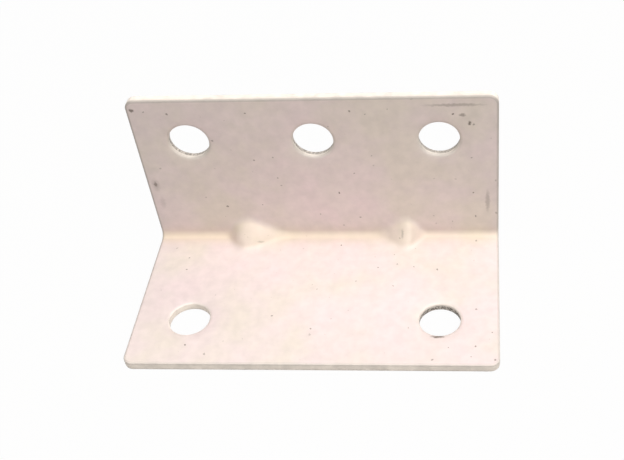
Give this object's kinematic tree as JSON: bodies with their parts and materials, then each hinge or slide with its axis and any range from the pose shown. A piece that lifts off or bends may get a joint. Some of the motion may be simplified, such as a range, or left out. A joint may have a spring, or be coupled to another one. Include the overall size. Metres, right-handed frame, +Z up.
{
  "type": "angle bracket",
  "caption": "Short, wide angle bracket folded from plated sheet steel, with punched screw holes in both legs and pressed stiffening dimples in the fold.",
  "frame": {"origin": "middle of the bottom of the bounding box: midway along the fold, midway between the front edge of the lower leg and the back of the upper leg, on the underside of the lower leg", "axes": "+X along the fold, +Y towards the back of the upper leg, +Z up along the upper leg"},
  "size_m": [0.058, 0.03, 0.03],
  "materials": {
    "plated_steel": "bright zinc plate with a pale passivated tint, satin, with fine specks and handling marks"
  },
  "bodies": {
    "root": {"bracket": "plated_steel"}
  },
  "joints": []
}
